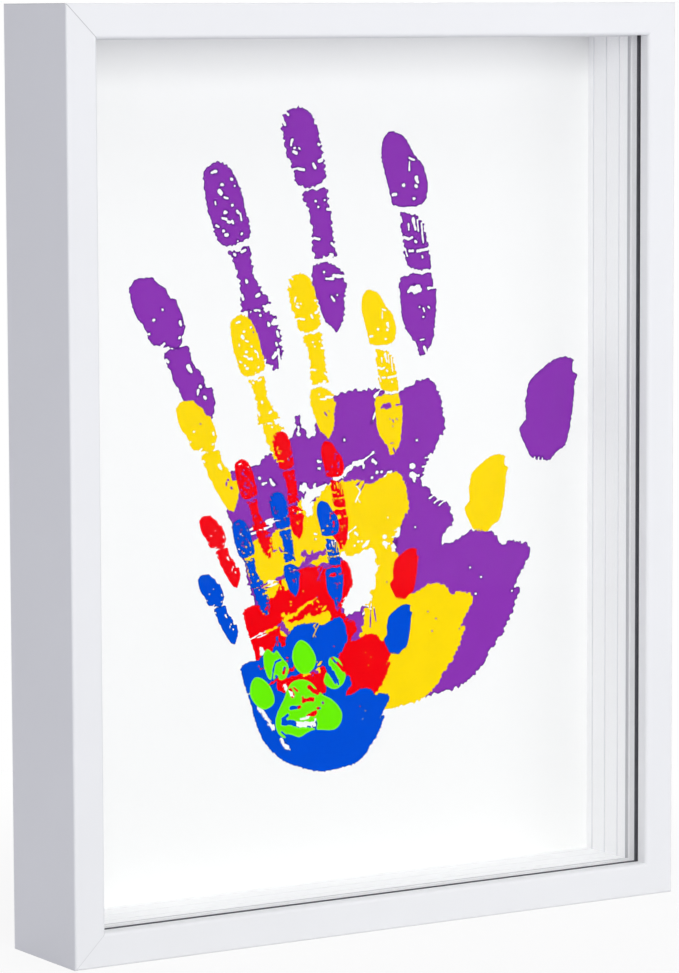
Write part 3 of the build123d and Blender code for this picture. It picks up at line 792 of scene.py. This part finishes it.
paw_marks_mm = (
    (-20.7, 94.7, -22.8, 94, 0.4), (-22.8, 94, -23.6, 91.9, 0.4), (-23.6, 91.9, -24.3, 87.6, 0.4),
    (-19, 91.7, -19.4, 89.7, 0.6), (-22, 88.1, -22.8, 88.9, 0.6), (1, 93.7, 6.1, 88.3, 0.4),
    (3.5, 92, 7, 88.3, 0.3), (-1.6, 91.2, 2.7, 85.3, 1.3), (3.1, 86, 3.9, 83.7, 0.4),
    (-16.5, 83.3, -15.7, 81, 0.9), (-15.2, 84.1, -13.6, 82.7, 0.4), (-8.5, 83.7, -5.1, 81.2, 0.9),
    (-11.4, 80.3, -10.6, 78.7, 0.5), (-11, 79.1, -7.2, 79, 1), (-16.1, 76.7, -12.7, 76.7, 0.8),
    (-2.9, 77.5, -2.7, 77.3, 0.5), (-5.1, 75.7, -4.2, 75.6, 0.5), (-12.3, 72.3, -8.9, 72.4, 0.5),
    (-9.4, 73.1, -5.9, 74.1, 0.9), (-20, 73, -17.8, 74.2, 0.5), (-19.5, 71.8, -13.6, 70.6, 1.1),
    (-13.6, 70.6, -6.4, 69.4, 1.3), (-6, 71.7, -5.8, 67.3, 0.4), (-20.4, 68.3, -18.3, 66.6, 0.4),
)  # fmt: skip

# Grid that the prints are worked out on: its step, how many steps are looked at round a mark, and
# its depth well outside every print
grid_step_mm = 0.4
margin_steps = 12
bare_mm = -9.0
# Width of the dried edge of the paint, and how far the paint goes into the paper
pooled_edge_mm = 0.5
soaked_mm = 0.02


def between(grid, column, row):
    """Height of a grid at places that lie between its points."""
    i, j = row.astype(int), column.astype(int)
    above, right = row - i, column - j
    low = grid[i, j] * (1 - right) + grid[i, j + 1] * right
    high = grid[i + 1, j] * (1 - right) + grid[i + 1, j + 1] * right
    return low * (1 - above) + high * above


def value_noise(across, up, grain, seed):
    """Smooth random heights from -1 to 1, whose bumps are a grain apart."""
    # Enough for the finest grain, a quarter of them for places below zero
    cells = 640
    table = np.random.default_rng(seed).uniform(-1, 1, (cells, cells))
    places = []
    for axis in (across, up):
        whole, share = np.divmod(axis / grain + cells / 4, 1)
        places.append(whole + share * share * (3 - 2 * share))
    return between(table, *places)


def smooth_loop(points, pieces=6):
    """Closed Catmull-Rom curve through some points, as short straight pieces."""
    p = np.array(points, float)
    before, after, beyond = (np.roll(p, turn, 0) for turn in (1, -1, -2))
    steps = np.arange(pieces)[:, None, None] / pieces
    curve = 0.5 * (
        2 * p
        + (after - before) * steps
        + (2 * before - 5 * p + 4 * after - beyond) * steps**2
        + (3 * p - before - 3 * after + beyond) * steps**3
    )
    return curve.transpose(1, 0, 2).reshape(-1, 2)


def inside_loop(across, up, loop):
    """How deep each point lies inside a closed loop, and below zero outside it."""
    depth = np.full(across.shape, np.inf)
    inside = np.zeros(across.shape, bool)
    for (x0, z0), (x1, z1) in zip(loop, np.roll(loop, -1, 0)):
        depth = np.minimum(depth, off_line(across, up, (x0, z0), (x1, z1)))
        if z0 != z1:
            crossed = ((z0 > up) != (z1 > up)) & (across < x0 + (up - z0) * (x1 - x0) / (z1 - z0))
            inside ^= crossed
    return np.where(inside, depth, -depth)


def off_line(across, up, start, end):
    """How far each point lies from a straight line between two ends."""
    (x0, z0), (x1, z1) = start, end
    length = (x1 - x0) ** 2 + (z1 - z0) ** 2
    share = np.clip(((across - x0) * (x1 - x0) + (up - z0) * (z1 - z0)) / length, 0, 1)
    return np.hypot(across - x0 - share * (x1 - x0), up - z0 - share * (z1 - z0))


def window(across, up, points):
    """Part of a grid that lies near some points."""
    start = across[0, 0], up[0, 0]
    low = np.floor((np.min(points, 0) - start) / grid_step_mm).astype(int) - margin_steps
    high = np.ceil((np.max(points, 0) - start) / grid_step_mm).astype(int) + margin_steps
    return np.s_[max(low[1], 0) : high[1], max(low[0], 0) : high[0]]


def frayed(across, up, field, depth, seed):
    """Frays the edge of a print, with fine and broad teeth that stand square to it."""
    rise_up, rise_across = np.gradient(field, grid_step_mm)
    edge = across - field * rise_across, up - field * rise_up
    fine = value_noise(*edge, grain=0.75, seed=seed)
    broad = value_noise(*edge, grain=2.2, seed=seed + 1)
    return field + depth * (1.5 * fine + 0.5 * broad - 0.1)


def printed(across, up, field, edge, depth, seed):
    """Adds a print with a frayed edge to a field."""
    near = window(across, up, edge)
    here = across[near], up[near]
    part = inside_loop(*here, smooth_loop(edge))
    field[near] = np.maximum(field[near], frayed(*here, part, depth, seed))


def bared(across, up, field, marks, fray, seed):
    """Bares a field along some marks with frayed edges."""
    for x0, z0, x1, z1, half in marks:
        near = window(across, up, ((x0, z0), (x1, z1)))
        here = across[near], up[near]
        broad = value_noise(*here, grain=1.6, seed=seed)
        fine = value_noise(*here, grain=0.7, seed=seed + 1)
        mark = off_line(*here, (x0, z0), (x1, z1)) - 0.9 * half + fray * half * (broad + 0.7 * fine)
        field[near] = np.minimum(field[near], mark)


def hand_field(across, up):
    """Stencil of the whole hand: above zero where its paint lies."""
    palm = np.full(across.shape, bare_mm)
    printed(across, up, palm, palm_edge_mm, depth=0.5, seed=3)
    hollow = inside_loop(across, up, smooth_loop(palm_hollow_mm))
    broad = value_noise(across, up, grain=3.0, seed=41)
    fine = value_noise(across, up, grain=1.1, seed=42)
    palm = np.minimum(palm, 1.6 * broad + 1.0 * fine - hollow)
    bared(across, up, palm, palm_marks_mm, fray=0.6, seed=43)
    fingers = np.full(across.shape, bare_mm)
    for number, (depth, edge) in enumerate(finger_prints_mm):
        printed(across, up, fingers, edge, depth, seed=50 + 2 * number)
    bared(across, up, fingers, finger_marks_mm, fray=0.35, seed=47)
    return np.maximum(palm, fingers)


def paw_field(across, up):
    """Stencil of the paw: four toes over a main pad."""
    paw = np.full(across.shape, bare_mm)
    for edge in paw_edges_mm:
        printed(across, up, paw, edge, depth=0.05, seed=71)
    bared(across, up, paw, paw_marks_mm, fray=0.3, seed=73)
    return paw


def outline_of(field, across, up):
    """Points and edges where a field crosses zero, one straight piece for each grid cell."""
    solid = field > 0
    points, index, edges = [], {}, []

    def crossing(row, column, next_row, next_column):
        key = row, column, next_row, next_column
        if key not in index:
            a, b = field[row, column], field[next_row, next_column]
            share = min(max(a / (a - b), 0.02), 0.98)
            x = across[row, column] + share * (across[next_row, next_column] - across[row, column])
            z = up[row, column] + share * (up[next_row, next_column] - up[row, column])
            index[key] = len(points)
            points.append((x, z))
        return index[key]

    corners = solid[:-1, :-1] * 1 + solid[:-1, 1:] * 2 + solid[1:, 1:] * 4 + solid[1:, :-1] * 8
    for row, column in np.argwhere((corners > 0) & (corners < 15)):
        sides = (
            (row, column, row, column + 1),
            (row, column + 1, row + 1, column + 1),
            (row + 1, column, row + 1, column + 1),
            (row, column, row + 1, column),
        )
        cut = [s for s in sides if solid[s[0], s[1]] != solid[s[2], s[3]]]
        ends = [crossing(*side) for side in cut]
        if len(ends) == 4 and not solid[row, column]:
            ends = [ends[0], ends[3], ends[1], ends[2]]
        edges += [tuple(ends[start : start + 2]) for start in range(0, len(ends), 2)]
    return points, edges


def film_shape(make_field, low, high):
    """Flat triangles of a painted shape between two corners of the sheet, and which of them lie
    along its edge."""
    columns = np.arange(low[0], high[0], grid_step_mm)
    rows = np.arange(low[1], high[1], grid_step_mm)
    across, up = np.meshgrid(columns, rows)
    field = make_field(across, up)
    points, edges = outline_of(field, across, up)
    inner, ring = outline_of(field - pooled_edge_mm, across, up)
    edges += [(start + len(points), end + len(points)) for start, end in ring]
    corners = [Vector(p) for p in points + inner]
    flat, _, faces, *_ = delaunay_2d_cdt(corners, edges, [], 0, 1e-6)
    flat, faces = np.array(flat), np.array(faces)
    depth = between(field, *((flat[faces].mean(1) - low) / grid_step_mm).T)
    painted = depth > 0
    return flat, faces[painted].tolist(), depth[painted] < pooled_edge_mm


def make_film(name, shape, scale, move, height_mm, material):
    """Closed film of paint from just inside the paper to its height in front of it."""
    flat, faces, pooled = shape
    count = len(flat)
    x = (flat[:, 0] * scale + move[0]) * MM
    z = (flat[:, 1] * scale + move[1]) * MM
    layers = (sheet_front - height_mm * MM, sheet_front + soaked_mm * MM)
    places = [np.column_stack((x, np.full(count, y), z)) for y in layers]
    front = [tuple(face) for face in faces]
    back = [tuple(count + corner for corner in reversed(face)) for face in front]
    rim = {}
    for face in front:
        for start, end in zip(face, face[1:] + face[:1]):
            if (end, start) in rim:
                del rim[end, start]
            else:
                rim[start, end] = True
    walls = [(end, start, start + count, end + count) for start, end in rim]
    mesh = bpy.data.meshes.new(name)
    mesh.from_pydata(np.vstack(places).tolist(), [], front + back + walls)
    mesh.materials.append(material)
    edge = mesh.attributes.new("pooled_edge", "FLOAT", "FACE")
    edge.data.foreach_set("value", np.concatenate((pooled, pooled, np.ones(len(walls)))))
    film = bpy.data.objects.new(name, mesh)
    bpy.context.scene.collection.objects.link(film)
    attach(film, "root")
    # Keeps the paint's colour off the white walls, as in the photograph
    film.visible_diffuse = False


def make_prints():
    """Four nested handprints and the paw, each a film of paint on the sheet."""
    hand = film_shape(hand_field, *hand_corners_mm)
    for name, (colour, edge, scale, right, up, height) in hands.items():
        paint = poster_paint(f"{name}_poster_paint", colour, edge)
        make_film(f"handprint_{name}", hand, scale, (right, up), height, paint)
    paw = film_shape(paw_field, *paw_corners_mm)
    paint = poster_paint("green_poster_paint", *paw_colours)
    make_film("pawprint_green", paw, 1.0, (0, 0), paw_height_mm, paint)


make_camera()
make_lights()
make_floor()
finish_nodes()
make_fasteners()
make_prints()
